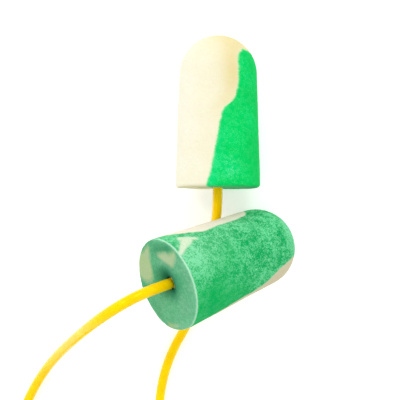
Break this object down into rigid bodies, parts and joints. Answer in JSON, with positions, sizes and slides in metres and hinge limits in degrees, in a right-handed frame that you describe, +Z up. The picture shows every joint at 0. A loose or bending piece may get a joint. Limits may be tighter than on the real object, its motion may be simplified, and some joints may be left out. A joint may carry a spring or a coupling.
{
  "type": "corded foam ear plugs",
  "caption": "Round-ended marbled foam ear plugs joined by a thin flexible vinyl cord, the spare cord wound in a small tied coil.",
  "frame": {"origin": "centre of the box round the two plugs in X and Y, at the table in Z", "axes": "+Z up from the table the pair lies on; +Y is the way the upper plug's domed ear end points, seen from above; +X to the right seen from above"},
  "size_m": [0.0464, 0.0869, 0.0221],
  "materials": {
    "marbled_foam": "soft fine-celled polyurethane foam, green marbled with cream",
    "vinyl_cord": "glossy translucent yellow vinyl",
    "glue": "clear set adhesive",
    "tie": "plain white plastic-coated paper twist tie"
  },
  "bodies": {
    "cord": {"cord_run_upper": "vinyl_cord", "cord_run_lower": "vinyl_cord", "cord_coil": "vinyl_cord", "cord_tie": "tie"},
    "upper_plug": {"plug_foam_upper": "marbled_foam", "glue_upper": "glue", "cord_end_upper": "vinyl_cord"},
    "lower_plug": {"plug_foam_lower": "marbled_foam", "glue_lower": "glue", "cord_end_lower": "vinyl_cord"}
  },
  "joints": [
    {"name": "upper_plug_swing", "type": "hinge", "parent": "cord", "child": "upper_plug", "pos_m": [-0.00013, -0.00146, 0.00648], "axis": [0, 0, 1], "range_deg": [-15, 30], "stiffness_Nm_per_rad": 0.0007},
    {"name": "lower_plug_nod", "type": "hinge", "parent": "cord", "child": "lower_plug", "pos_m": [-0.00701, -0.01518, 0.01677], "axis": [0.2924, -0.9563, 0], "range_deg": [0, 35], "stiffness_Nm_per_rad": 0.0007}
  ]
}
